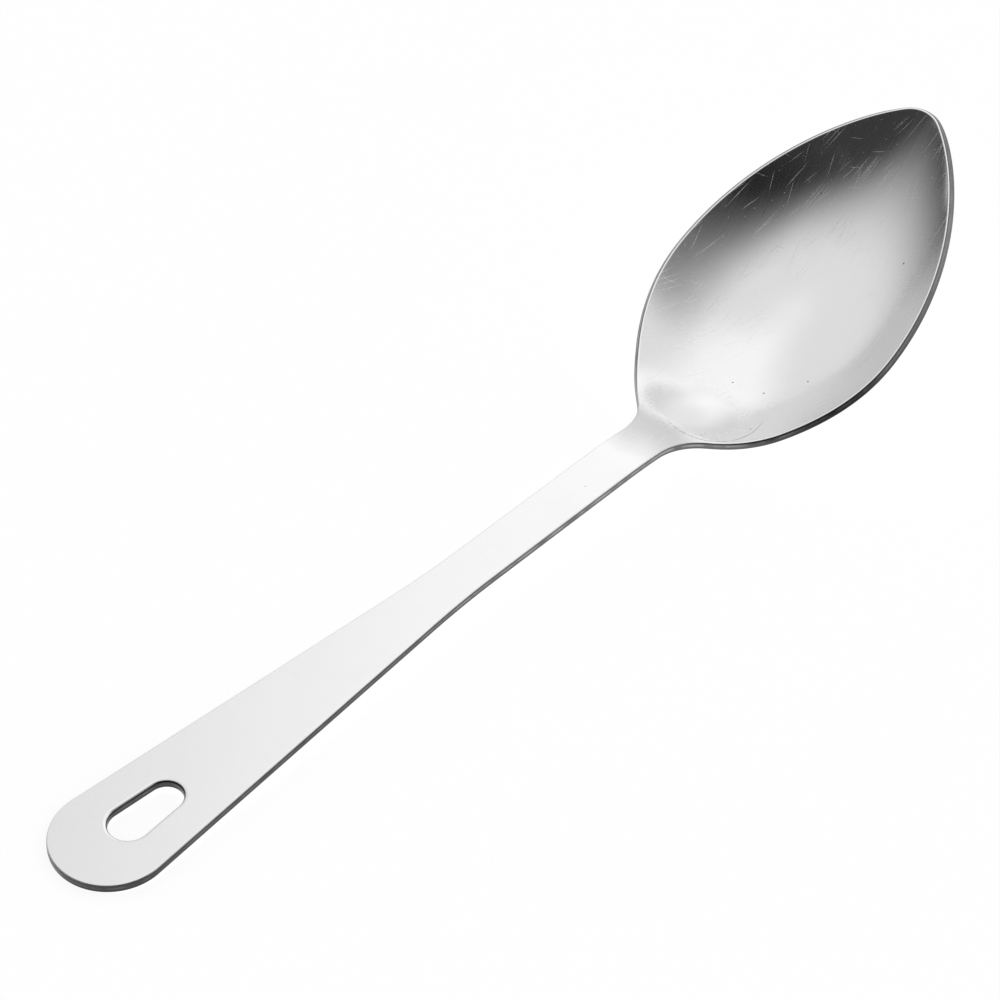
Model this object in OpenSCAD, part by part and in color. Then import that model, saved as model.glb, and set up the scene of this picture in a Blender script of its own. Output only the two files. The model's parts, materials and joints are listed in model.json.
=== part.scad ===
// Serving spoon pressed from one sheet of stainless steel, 281 mm long.
// It lies as it would on a table: the belly of the bowl and the end of the handle touch z = 0.
// +X runs from the handle towards the tip of the bowl, +Y is left, and the origin is on the
// table under the middle of the spoon. The sheet is drawn in three zones that meet face to
// face: the flat handle, the bent neck and the pressed bowl.

/* [Sheet] */
// Thickness of the sheet in the handle
sheet_t = 2; // [1.2:0.1:3]
// Thickness of the sheet in the bowl, which pressing has thinned
bowl_t = 1.7; // [1:0.1:2.6]

/* [Handle] */
// Width of the handle at its rounded end
handle_end_w = 26.2; // [20:0.2:32]
// Width of the slim shank before the bowl
shank_w = 11.6; // [8:0.2:16]
// Distance from the end to where the tapering sides would meet the shank
taper_l = 112; // [80:0.5:140]
// Radius that eases the taper into the shank
taper_blend_r = 285; // [80:5:400]
// Length of the flat handle, from its end to the neck
handle_l = 166.5; // [160:0.5:200]

/* [Hanging slot] */
// Length of the slot from end to end
slot_l = 18.4; // [12:0.2:26]
// Width of the slot across its wide end, near the end of the handle
slot_w = 9; // [4:0.2:12]
// Width of the slot across its narrow end, towards the bowl
slot_neck_w = 7.6; // [3:0.2:12]
// Distance from the end of the handle to the middle of the slot
slot_x = 22.7; // [16:0.1:40]

/* [Neck] */
// Length of the neck along the sheet, from the flat handle to the heel of the bowl
neck_l = 24; // [16:1:32]
// Angle by which the neck has bent down where it reaches the heel
neck_drop_angle = 10.5; // [0:0.5:14]
// Radius of the fillets where the neck flares into the bowl
flare_r = 17; // [6:0.5:20]

/* [Bowl] */
// Length of the bowl along its rim line, from the heel to where its sides would meet
bowl_l = 102.8; // [85:0.2:125]
// Width of the bowl at its widest
bowl_w = 64; // [48:1:80]
// Distance along the rim line from the heel to the widest place
widest_l = 42.5; // [36:0.5:50]
// Length of the heel's curve, from the widest place to where it would close
heel_curve_l = 52.5; // [45:0.5:60]
// Radius that rounds the tip where the sides meet
tip_r = 8.5; // [4:0.5:14]
// Depth of the hollow below the rim line
bowl_depth = 13; // [8:0.5:20]
// Distance along the rim line from the heel to the deepest place
deepest_l = 46; // [36:1:60]
// Length of the bend that lifts the rim line from the neck
lift_l = 14; // [8:0.5:18]
// Slope of the rim line just after that bend
rim_rise_angle = 24; // [15:0.5:30]
// Slope of the rim line at the tip
tip_rise_angle = 31.5; // [24:0.5:40]

/* [Hidden] */
steel = [0.8, 0.8, 0.81];
$fn = 96;

// Cuts pass this far through a face
overrun = 1;
// The slot's straight sides run this far inside its round ends, so that they cross them
side_inset = 0.01;
// Step along the sheet over which a slope is measured
probe = 0.01;
// Spans along the neck, along the bowl and across the bowl
neck_spans = 10;
bowl_spans = 36;
cross_spans = 16;

// Shares that give the curves their fullness: 0.5 is an ellipse and 1 a parabola
heel_fullness_share = 1.03;
tip_fullness_share = 0.776;
// Powers of the hollow's lengthwise section towards the heel and towards the tip
heel_hollow_share = 3;
tip_hollow_share = 2;
// Part of the way to the deepest place over which the hollow eases in from the neck
ease_share = 0.09;
// Powers that crowd the spans towards the heel and towards the tip
heel_crowd_share = 1.3;
tip_crowd_share = 1.8;

// Places along the sheet, measured from the end of the handle
heel_s = handle_l + neck_l;
lift_s = heel_s + lift_l;
widest_s = heel_s + widest_l;
deepest_s = heel_s + deepest_l;
tip_curve_l = bowl_l - widest_l;

// The handle's outline: a round end, two tapering sides and two easing arcs
end_r = handle_end_w / 2;
shank_r = shank_w / 2;
taper_reach = norm([taper_l - end_r, shank_r]);
taper_angle = asin(end_r / taper_reach) - atan2(shank_r, taper_l - end_r);
taper_start = [end_r + end_r * sin(taper_angle), end_r * cos(taper_angle)];
blend_drop = taper_blend_r * (1 - cos(taper_angle));
blend_start_x = taper_l - blend_drop / tan(taper_angle);
blend_x = blend_start_x + taper_blend_r * sin(taper_angle);

// Flat strip with a round end; the two cylinders cut the easing arcs from its sides
module handle_strip() {
    difference() {
        union() {
            translate([end_r, 0, -sheet_t]) cylinder(r = end_r, h = sheet_t);
            translate([0, 0, -sheet_t])
                linear_extrude(height = sheet_t)
                    polygon([
                        taper_start,
                        [blend_start_x, shank_r + blend_drop],
                        [blend_x, shank_r],
                        [handle_l, shank_r],
                        [handle_l, -shank_r],
                        [blend_x, -shank_r],
                        [blend_start_x, -shank_r - blend_drop],
                        [taper_start.x, -taper_start.y]
                    ]);
        }
        for (side = [-1, 1])
            translate([blend_x, side * (shank_r + taper_blend_r), -sheet_t - overrun])
                cylinder(r = taper_blend_r, h = sheet_t + 2 * overrun);
    }
}

// The slot narrows towards the bowl, and its straight sides follow both round ends
slot_wide_x = slot_x - slot_l / 2 + slot_w / 2;
slot_slim_x = slot_x + slot_l / 2 - slot_neck_w / 2;
slot_side_angle = acos((slot_w - slot_neck_w) / 2 / (slot_slim_x - slot_wide_x));
slot_side = [cos(slot_side_angle), sin(slot_side_angle)];

// Cutter for the slot: two cylinders and the tapering part between them
module slot_cutter() {
    cut_h = sheet_t + 2 * overrun;
    wide = (slot_w / 2 - side_inset) * slot_side;
    slim = (slot_neck_w / 2 - side_inset) * slot_side;
    translate([0, 0, -sheet_t - overrun]) {
        linear_extrude(height = cut_h)
            polygon([
                [slot_wide_x + wide.x, wide.y],
                [slot_wide_x + wide.x, -wide.y],
                [slot_slim_x + slim.x, -slim.y],
                [slot_slim_x + slim.x, slim.y]
            ]);
        translate([slot_wide_x, 0, 0]) cylinder(d = slot_w, h = cut_h);
        translate([slot_slim_x, 0, 0]) cylinder(d = slot_neck_w, h = cut_h);
    }
}

// Half width of the bowl's own curve at place s along the sheet, and its slope there
function curve_w(s) =
    s < widest_s
        ? bowl_w / 2 * pow(1 - pow((widest_s - s) / heel_curve_l, 2), heel_fullness_share)
        : bowl_w / 2 * pow(max(0, 1 - pow((s - widest_s) / tip_curve_l, 2)), tip_fullness_share);
function curve_slope(s) = (curve_w(s + probe) - curve_w(s - probe)) / (2 * probe);

// The fillet's centre keeps one radius from the shank's side and from the bowl's curve
function flare_centre(s) =
    let (m = curve_slope(s), across = norm([1, m]))
    [s - flare_r * m / across, curve_w(s) + flare_r / across];
function flare_touch(low, high, turns = 40) =
    let (mid = (low + high) / 2)
    turns == 0
        ? mid
        : flare_centre(mid).y > shank_r + flare_r
            ? flare_touch(low, mid, turns - 1)
            : flare_touch(mid, high, turns - 1);
flare_end_s = flare_touch(widest_s - heel_curve_l + 2 * probe, widest_s);
flare_start_s = flare_centre(flare_end_s).x;

// The tip's arc is centred on the middle line and touches both sides
function tip_reach(s) = curve_w(s) * norm([1, curve_slope(s)]);
function tip_touch(low, high, turns = 40) =
    let (mid = (low + high) / 2)
    turns == 0
        ? mid
        : tip_reach(mid) > tip_r
            ? tip_touch(mid, high, turns - 1)
            : tip_touch(low, mid, turns - 1);
tip_touch_s = tip_touch(widest_s, widest_s + tip_curve_l - 2 * probe);
tip_centre_s = tip_touch_s + curve_w(tip_touch_s) * curve_slope(tip_touch_s);
tip_s = tip_centre_s + tip_r;

// Half width of the whole spoon from the neck to the tip
function half_w(s) =
    s < flare_start_s
        ? shank_r
        : s < flare_end_s
            ? shank_r + flare_r - sqrt(pow(flare_r, 2) - pow(s - flare_start_s, 2))
            : s < tip_touch_s
                ? curve_w(s)
                : sqrt(max(0, pow(tip_r, 2) - pow(s - tip_centre_s, 2)));

// The rim line seen from the side is a chain of arcs: each row is [start, slope there]
bends = [
    [0, 0],
    [handle_l, 0],
    [heel_s, -neck_drop_angle],
    [lift_s, rim_rise_angle],
    [tip_s, tip_rise_angle]
];
function arc_run(length, from, to) =
    let (turn = to - from, chord = turn == 0 ? 1 : sin(turn / 2) / (turn / 2 * PI / 180))
    length * chord * [cos((from + to) / 2), sin((from + to) / 2)];
function bend_start(i) =
    i == 0
        ? [0, 0]
        : bend_start(i - 1) + arc_run(bends[i][0] - bends[i - 1][0], bends[i - 1][1], bends[i][1]);
bend_starts = [for (i = [0 : len(bends) - 1]) bend_start(i)];
function bend_of(s) = max([for (i = [0 : len(bends) - 2]) s >= bends[i][0] ? i : 0]);
function slope(s) = lookup(s, bends);
function rim_line(s) =
    let (i = bend_of(s))
    bend_starts[i] + arc_run(s - bends[i][0], bends[i][1], slope(s));

// Depth of the hollow along the middle, and the one direction in which it is pressed
press_angle = (rim_rise_angle + tip_rise_angle) / 2;
press = [sin(press_angle), 0, -cos(press_angle)];
ease_l = ease_share * deepest_l;
function eased(a) = (norm([a, ease_l]) - ease_l) / (norm([deepest_l, ease_l]) - ease_l);
function depth(s) =
    s < deepest_s
        ? bowl_depth * (1 - pow(1 - eased(max(0, s - heel_s)), heel_hollow_share))
        : bowl_depth * (1 - pow(min(1, (s - deepest_s) / (tip_s - deepest_s)), tip_hollow_share));

// A point of the upper surface at place s, and v from -1 at the right edge to 1 at the left
function skin(s, v) =
    let (c = rim_line(s))
    [c.x, v * half_w(s), c.y] + depth(s) * (1 - v * v) * press;

// Direction square to the sheet, away from the hollow
function skin_normal(s, v) =
    let (
        a = max(heel_s, s - probe),
        b = min(tip_s - probe, s + probe),
        along = skin(b, v) - skin(a, v),
        across = half_w(s) * [0, 1, 0] - 2 * v * depth(s) * press,
        n = cross(across, along)
    )
    n / norm(n);
function flat_normal(s) = [sin(slope(s)), 0, -cos(slope(s))];

// Stations of the bowl, closer together at the heel and at the tip
function station(i) =
    heel_s
        + (tip_s - heel_s) * (1 - pow(1 - pow(i / bowl_spans, heel_crowd_share), tip_crowd_share));
function inner(i, j) = skin(station(i), 2 * j / cross_spans - 1);
function outer(i, j) =
    i == 0
        ? inner(0, j) + bowl_t * flat_normal(heel_s)
        : inner(i, j) + bowl_t * skin_normal(station(i), 2 * j / cross_spans - 1);
inner_tip = skin(tip_s, 0);
outer_tip = inner_tip + bowl_t * skin_normal(tip_s - probe, 0);
belly = [for (i = [0 : bowl_spans - 1]) outer(i, cross_spans / 2)];

// The spoon is tipped until the end of the handle and the belly of the bowl both touch
rest_angle = max([for (p = belly) atan2(-sheet_t - p.z, p.x)]);
function tipped_x(p) = p.x * cos(rest_angle) - p.z * sin(rest_angle);
overall_l = max(tipped_x(inner_tip), tipped_x(outer_tip));

module at_rest() {
    translate([-overall_l / 2, 0, sheet_t * cos(rest_angle)])
        rotate([0, -rest_angle, 0])
            children();
}

module handle() {
    color(steel)
        at_rest()
            difference() {
                handle_strip();
                slot_cutter();
            }
}

// Four corners of the neck's section at place s, whose thickness eases to the bowl's
function neck_section(s) =
    let (
        c = rim_line(s),
        t = sheet_t + (bowl_t - sheet_t) * (s - handle_l) / neck_l,
        right = [c.x, -half_w(s), c.y],
        left = [c.x, half_w(s), c.y],
        down = t * flat_normal(s)
    )
    [right, left, left + down, right + down];

module neck() {
    points = [
        for (i = [0 : neck_spans])
            each neck_section(handle_l + neck_l * i / neck_spans)
    ];
    last = 4 * neck_spans;
    faces = [
        [3, 2, 1, 0],
        [last, last + 1, last + 2, last + 3],
        for (i = [0 : neck_spans - 1], k = [0 : 3])
            let (a = 4 * i + k, b = 4 * i + (k + 1) % 4)
            each [[a, b, b + 4], [a, b + 4, a + 4]]
    ];
    color(steel) at_rest() polyhedron(points, faces);
}

module bowl() {
    row = cross_spans + 1;
    under = bowl_spans * row;
    tip_in = 2 * under;
    tip_out = tip_in + 1;
    points = [
        for (i = [0 : bowl_spans - 1], j = [0 : cross_spans]) inner(i, j),
        for (i = [0 : bowl_spans - 1], j = [0 : cross_spans]) outer(i, j),
        inner_tip,
        outer_tip
    ];
    last = (bowl_spans - 1) * row;
    faces = [
        for (i = [0 : bowl_spans - 2], j = [0 : cross_spans - 1])
            let (a = i * row + j, b = a + row)
            each [
                [a, a + 1, b + 1],
                [a, b + 1, b],
                [under + a, under + b + 1, under + a + 1],
                [under + a, under + b, under + b + 1]
            ],
        for (j = [0 : cross_spans - 1])
            each [
                [last + j, last + j + 1, tip_in],
                [under + last + j, tip_out, under + last + j + 1],
                [j, under + j, under + j + 1],
                [j, under + j + 1, j + 1]
            ],
        for (i = [0 : bowl_spans - 2])
            let (r = i * row, l = r + cross_spans)
            each [
                [r, r + row, under + r + row],
                [r, under + r + row, under + r],
                [l, under + l + row, l + row],
                [l, under + l, under + l + row]
            ],
        [last, tip_in, tip_out],
        [last, tip_out, under + last],
        [last + cross_spans, tip_out, tip_in],
        [last + cross_spans, under + last + cross_spans, tip_out]
    ];
    color(steel) at_rest() polyhedron(points, faces);
}

handle();
neck();
bowl();
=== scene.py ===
"""A serving spoon pressed from one sheet of polished stainless steel.

The blank is cut flat with its edges already rounded. A node tree then bends it along the
rim line and presses the hollow of the bowl, and the finished spoon is laid at rest in the
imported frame. The handle, the neck and the bowl are one sheet, shown as three pieces.
"""
import json
import math
from dataclasses import dataclass

import bmesh
import bpy
from bpy.props import FloatProperty, FloatVectorProperty, PointerProperty
from mathutils import Matrix, Vector
from mathutils.geometry import tessellate_polygon


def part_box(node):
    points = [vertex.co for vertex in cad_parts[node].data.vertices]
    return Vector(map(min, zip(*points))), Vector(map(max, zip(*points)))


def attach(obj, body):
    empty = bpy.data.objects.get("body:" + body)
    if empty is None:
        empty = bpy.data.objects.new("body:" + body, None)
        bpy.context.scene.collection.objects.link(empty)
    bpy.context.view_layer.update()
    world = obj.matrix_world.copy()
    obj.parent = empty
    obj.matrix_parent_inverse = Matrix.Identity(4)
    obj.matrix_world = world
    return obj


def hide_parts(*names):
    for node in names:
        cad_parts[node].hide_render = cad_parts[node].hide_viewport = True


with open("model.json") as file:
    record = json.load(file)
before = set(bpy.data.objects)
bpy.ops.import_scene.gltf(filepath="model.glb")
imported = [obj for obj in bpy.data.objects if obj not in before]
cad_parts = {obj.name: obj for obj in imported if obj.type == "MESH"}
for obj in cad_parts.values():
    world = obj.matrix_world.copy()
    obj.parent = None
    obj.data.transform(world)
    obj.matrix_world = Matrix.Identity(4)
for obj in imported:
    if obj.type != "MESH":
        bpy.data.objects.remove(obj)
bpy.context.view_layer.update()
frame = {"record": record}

bl_info = {
    "name": "Serving spoon",
    "version": (1, 0, 0),
    "blender": (4, 5, 0),
    "location": "3D Viewport > Sidebar > Spoon",
    "description": "Makes a pressed stainless steel serving spoon and a plain studio stage for it",
    "category": "Add Mesh",
}

MM = 0.001


def length(name, description, millimetres):
    """A length property whose default is given in millimetres."""
    return FloatProperty(
        name=name, description=description, default=millimetres * MM, min=0, unit="LENGTH", precision=5
    )


def angle(name, description, degrees):
    """An angle property whose default is given in degrees."""
    return FloatProperty(
        name=name, description=description, default=math.radians(degrees), subtype="ANGLE"
    )


def level(name, description, value):
    """A plain number property."""
    return FloatProperty(name=name, description=description, default=value, precision=3)


def colour(name, description, hex_colour):
    """A colour property whose default is an sRGB hex value."""
    return FloatVectorProperty(
        name=name, description=description, default=linear(hex_colour)[:3], subtype="COLOR", min=0, max=1
    )


def linear(hex_colour):
    """Linear colour of an sRGB hex value such as "#C8C8C8"."""
    parts = [int(hex_colour[k:k + 2], 16) / 255 for k in (1, 3, 5)]
    return (*(v / 12.92 if v <= 0.04045 else ((v + 0.055) / 1.055) ** 2.4 for v in parts), 1.0)


class SpoonSheetSettings(bpy.types.PropertyGroup):
    """Sizes of the sheet, its blank and the bends and hollow that are pressed into it"""

    sheet_t: length("Handle thickness", "Thickness of the sheet in the handle", 2.0)
    bowl_t: length("Bowl thickness", "Thickness of the sheet in the bowl", 1.7)
    handle_end_w: length("Handle end width", "Width of the handle at its rounded end", 26.2)
    shank_w: length("Shank width", "Width of the slim shank before the bowl", 11.6)
    taper_l: length("Taper length", "From the end to where the tapering sides would meet the shank", 112.0)
    taper_blend_r: length("Taper blend radius", "Radius that eases the taper into the shank", 285.0)
    handle_l: length("Handle length", "Length of the flat handle, from its end to the neck", 166.5)
    slot_l: length("Slot length", "Length of the hanging slot from end to end", 18.4)
    slot_w: length("Slot width", "Width of the slot across its wide end, near the handle's end", 9.0)
    slot_neck_w: length("Slot narrow width", "Width of the slot across its end towards the bowl", 7.6)
    slot_x: length("Slot place", "From the end of the handle to the middle of the slot", 22.7)
    neck_l: length("Neck length", "Length of the neck along the sheet", 24.0)
    neck_drop: angle("Neck drop", "Angle by which the neck has bent down at the heel of the bowl", 10.5)
    flare_r: length("Flare radius", "Radius of the fillets where the neck flares into the bowl", 17.0)
    bowl_l: length("Bowl length", "Along the rim line from the heel to where the sides would meet", 102.8)
    bowl_w: length("Bowl width", "Width of the bowl at its widest", 64.0)
    widest_l: length("Widest place", "Along the rim line from the heel to the widest place", 42.5)
    heel_curve_l: length("Heel curve length", "From the widest place to where that curve closes", 52.5)
    tip_r: length("Tip radius", "Radius that rounds the tip where the sides meet", 8.5)
    bowl_depth: length("Bowl depth", "Depth of the hollow below the rim line", 13.0)
    deepest_l: length("Deepest place", "Along the rim line from the heel to the deepest place", 46.0)
    lift_l: length("Lift length", "Length of the bend that lifts the rim line from the neck", 14.0)
    rim_rise: angle("Rim rise", "Slope of the rim line just after the lift", 24.0)
    tip_rise: angle("Tip rise", "Slope of the rim line at the tip", 31.5)
    edge_reach: length("Edge rounding", "How far the rounded edge reaches into the sheet's faces", 0.45)
    slot_reach: length("Slot rounding", "How far the slot's rounded edge reaches into the faces", 0.9)


class SpoonFinishSettings(bpy.types.PropertyGroup):
    """Colours and roughness of the steel's finishes"""

    face_colour: colour("Face colour", "Colour of the buffed faces", "#DCDCDC")
    face_roughness: level("Face roughness", "Roughness of the buffed faces", 0.15)
    worn_colour: colour("Scratch colour", "Colour inside the scratches and specks", "#E6E6E6")
    worn_roughness: level("Scratch roughness", "Roughness inside the scratches and specks", 0.5)
    # Painted shade: colour of a darker band across the neck where the sheet bends
    neck_shade_colour: colour("Bend colour", "Colour of the band where the punch has dulled the neck", "#BCBCBC")
    # Painted highlight: colour of the brighter patch at the heel
    heel_highlight_colour: colour("Heel colour", "Colour of the heel, where the punch has burnished it", "#F2F2F2")
    # Colour of the pits, also used for the painted shade along the heel's fold
    pit_and_fold_shade_colour: colour("Pit colour", "Colour of the small pits", "#4C4C4C")
    # The edge's colours: its own duller tone with painted shade, darkest as painted shade round the
    # handle's end and in the slot, and a painted reflection as the lighter streak
    edge_tone_and_shade_colour: colour("Edge colour", "Colour of the torn part of the edge", "#6E6E6E")
    end_tone_and_shade_colour: colour("End edge colour", "Colour of the edge in the slot and round the end", "#464646")
    streak_reflection_colour: colour("Streak reflection colour", "Colour of the smoother streak along the edge", "#A4A4A4")
    edge_roughness: level("Edge roughness", "Roughness of the tumbled edge", 0.3)


class SpoonStageSettings(bpy.types.PropertyGroup):
    """The floor, the cards round the spoon and the camera's place"""

    lens: FloatProperty(name="Lens", description="Focal length", default=108.0, unit="CAMERA")
    target: FloatVectorProperty(
        name="Target", description="Point that the camera looks at", default=(-0.00291, 0.0074, 0.01),
        subtype="XYZ", unit="LENGTH", precision=5,
    )
    distance: length("Distance", "From the camera to its target", 677.64)
    azimuth: angle("Azimuth", "Direction of the camera round the spoon", -50.1556)
    elevation: angle("Elevation", "Height of the camera over the table, as an angle", 42.1703)
    roll: angle("Roll", "Turn of the camera about its own line of sight", 3.7616)
    fill: level("Fill", "Brightness of the even light on the table", 0.36)
    floor_w: length("Floor width", "Width of the square floor", 6000.0)
    floor_colour: colour("Floor colour", "Colour of the white table top", "#B4B4B4")
    floor_glow: level("Floor white", "Part of the floor's white that shadows don't darken", 0.83)
    dome_r: length("Dome radius", "Radius of the dark cloth dome", 1500.0)
    dark_colour: colour("Dark colour", "Colour of the dark cloth on the camera's side", "#404040")
    lit_azimuth: angle("Lit azimuth", "Direction of the lit side, from +X towards +Y", 27.9)
    lit_elevation: angle("Lit elevation", "Height of the middle of the lit side, as an angle", 57.3)
    dark_until: level("Dark until", "Cosine from the lit side at which the cloth starts to fade", 0.152)
    clear_from: level("Clear from", "Cosine from the lit side at which the cloth has faded", 0.646)
    card_level: level("Card level", "Brightness of all the cards, where 1 is as fitted", 1.0)


# Powers that give the outline's curves their fullness: 0.5 is an ellipse and 1 a parabola
HEEL_FULLNESS = 1.03
TIP_FULLNESS = 0.776
# Powers of the hollow's lengthwise section towards the heel and towards the tip
HEEL_HOLLOW = 3.0
TIP_HOLLOW = 2.0
# Part of the way to the deepest place over which the hollow eases in from the neck
EASE_SHARE = 0.09
# Powers of the edge's rounded corners, on top, round the slot and below: 2 is an ellipse and
# more is squarer
TOP_SQUARENESS = 3.5
SLOT_SQUARENESS = 2.4
UNDER_SQUARENESS = 6.0
# The lower corner's rounding as a share of the upper one's
UNDER_REACH_SHARE = 0.4
# Step along the sheet over which a slope is measured
PROBE = 0.02 * MM
# Slopes this near the tip are measured this far before it, because the width closes there
TIP_MARGIN = 0.5 * MM
# The place across the sheet is never divided by a half width less than this
LEAST_HALF_W = 0.001 * MM
# How often the stretch is halved in which the place where two curves touch is looked for
HALVINGS = 40
# Spans across the sheet and down its edge
ACROSS_SPANS = 64
EDGE_SPANS = 12
# Spans at the top and at the bottom of the edge that are buffed like the faces
BEVEL_SPANS = 3
# Spans round the handle's end, round each end of the slot, along the taper's blend and round the tip
END_SPANS = 64
SLOT_SPANS = 28
BLEND_SPANS = 24
TIP_SPANS = 24
# Distances between stations along the sheet
NECK_STEP = 0.5 * MM
BOWL_STEP = 0.6 * MM
RIM_LINE_STEP = 0.1 * MM
# A face is on the underside where its normal points down by more than this
DOWNWARD = 0.5
# The underside's pattern coordinates are shifted by this, so that it doesn't repeat the top's
UNDERSIDE_SHIFT = 200.0 * MM


class Sheet:
    """Places and curves of the sheet, worked out from its sizes as the solid parts' are."""

    def __init__(self, size):
        self.size = size
        self.heel_s = size.handle_l + size.neck_l
        self.lift_s = self.heel_s + size.lift_l
        self.widest_s = self.heel_s + size.widest_l
        self.deepest_s = self.heel_s + size.deepest_l
        self.end_r = size.handle_end_w / 2
        self.shank_r = size.shank_w / 2
        self.place_taper()
        self.place_flare()
        self.place_tip()
        self.bends = (
            (0.0, 0.0),
            (size.handle_l, 0.0),
            (self.heel_s, -size.neck_drop),
            (self.lift_s, size.rim_rise),
            (self.tip_s, size.tip_rise),
        )
        self.starts = [Vector((0.0, 0.0))]
        for (s0, a0), (s1, a1) in zip(self.bends, self.bends[1:]):
            self.starts.append(self.starts[-1] + arc_run(s1 - s0, a0, a1))
        press_angle = (size.rim_rise + size.tip_rise) / 2
        self.press = Vector((math.sin(press_angle), 0.0, -math.cos(press_angle)))

    def place_taper(self):
        """The tapering sides touch the end's arc and are eased into the shank."""
        size = self.size
        run = size.taper_l - self.end_r
        reach = math.hypot(run, self.shank_r)
        self.taper = math.asin(self.end_r / reach) - math.atan2(self.shank_r, run)
        drop = size.taper_blend_r * (1 - math.cos(self.taper))
        start = size.taper_l - drop / math.tan(self.taper)
        self.blend_s = start + size.taper_blend_r * math.sin(self.taper)

    def curve_w(self, s):
        """Half width of the bowl's own curve."""
        size = self.size
        if s < self.widest_s:
            part, fullness = (self.widest_s - s) / size.heel_curve_l, HEEL_FULLNESS
        else:
            part, fullness = (s - self.widest_s) / (size.bowl_l - size.widest_l), TIP_FULLNESS
        return size.bowl_w / 2 * max(0.0, 1 - part * part) ** fullness

    def curve_slope(self, s):
        """Slope of the left side's curve."""
        return (self.curve_w(s + PROBE) - self.curve_w(s - PROBE)) / (2 * PROBE)

    def flare_centre(self, s):
        """Centre of a fillet that touches the bowl's curve at place s."""
        slope = self.curve_slope(s)
        across = math.hypot(1, slope)
        return s - self.size.flare_r * slope / across, self.curve_w(s) + self.size.flare_r / across

    def place_flare(self):
        """The fillet's centre keeps one radius from the shank's side and from the bowl's curve."""
        self.flare_end_s = last_place(
            self.widest_s - self.size.heel_curve_l + 2 * PROBE,
            self.widest_s,
            lambda s: self.flare_centre(s)[1] <= self.shank_r + self.size.flare_r,
        )
        self.flare_start_s = self.flare_centre(self.flare_end_s)[0]

    def place_tip(self):
        """The tip's arc is centred on the middle line and touches both sides."""
        self.tip_touch_s = last_place(
            self.widest_s,
            self.heel_s + self.size.bowl_l - 2 * PROBE,
            lambda s: self.curve_w(s) * math.hypot(1, self.curve_slope(s)) > self.size.tip_r,
        )
        reach = self.curve_w(self.tip_touch_s) * self.curve_slope(self.tip_touch_s)
        self.tip_centre_s = self.tip_touch_s + reach
        self.tip_s = self.tip_centre_s + self.size.tip_r

    def half_w(self, s):
        """Half width from the neck to the tip."""
        if s < self.flare_start_s:
            return self.shank_r
        if s < self.flare_end_s:
            r = self.size.flare_r
            return self.shank_r + r - math.sqrt(r * r - (s - self.flare_start_s) ** 2)
        if s < self.tip_touch_s:
            return self.curve_w(s)
        return math.sqrt(max(0.0, self.size.tip_r ** 2 - (s - self.tip_centre_s) ** 2))

    def rim_line(self, s):
        """Point (x, z) of the rim line seen from the side."""
        i = max(k for k in range(len(self.bends) - 1) if s >= self.bends[k][0] or k == 0)
        (s0, a0), (s1, a1) = self.bends[i], self.bends[i + 1]
        here = a0 + (a1 - a0) * (s - s0) / (s1 - s0)
        return self.starts[i] + arc_run(s - s0, a0, here)

    def hollow(self, s):
        """Share of the bowl's depth that the hollow has at place s."""
        if s < self.deepest_s:
            ease = EASE_SHARE * self.size.deepest_l
            full = math.hypot(self.size.deepest_l, ease) - ease
            part = (math.hypot(max(0.0, s - self.heel_s), ease) - ease) / full
            return 1 - (1 - part) ** HEEL_HOLLOW
        part = min(1.0, (s - self.deepest_s) / (self.tip_s - self.deepest_s))
        return 1 - part ** TIP_HOLLOW


def last_place(low, high, holds):
    """The last place between low and high at which something still holds."""
    for _ in range(HALVINGS):
        middle = (low + high) / 2
        if holds(middle):
            low = middle
        else:
            high = middle
    return (low + high) / 2


def arc_run(run, start, end):
    """Step (x, z) made by an arc of that length whose slope goes from start to end."""
    half = (end - start) / 2
    chord = run * (math.sin(half) / half if half else 1)
    middle = (start + end) / 2
    return Vector((chord * math.cos(middle), chord * math.sin(middle)))


def edge_section(reach, thickness, squareness=TOP_SQUARENESS):
    """Rounded section of a sheet's edge, from the top face to the underside.

    The top corner is rounded over reach, and the bottom one, where the punch left it, over a
    part of it. Each row is how far the point lies inside the outline, how deep it lies, and
    the outward and upward parts of its normal.
    """
    half_t = thickness / 2
    rows = []
    for k in range(EDGE_SPANS + 1):
        turn = math.pi * (0.5 - k / EDGE_SPANS)
        out, up = max(0.0, math.cos(turn)), math.sin(turn)
        power = 2 / (squareness if up > 0 else UNDER_SQUARENESS)
        here = reach if up > 0 else reach * UNDER_REACH_SHARE
        inset = here * (1 - out ** power)
        height = half_t * math.copysign(abs(up) ** power, up)
        normal = Vector((out ** (2 - power) / here, math.copysign(abs(up) ** (2 - power), up) / half_t))
        normal.normalize()
        rows.append((inset, half_t - height, normal.x, normal.y))
    return rows


def is_edge_span(k):
    """Whether a span of the edge, counted from the top, is left as it was tumbled."""
    return BEVEL_SPANS <= k < EDGE_SPANS - BEVEL_SPANS


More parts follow.
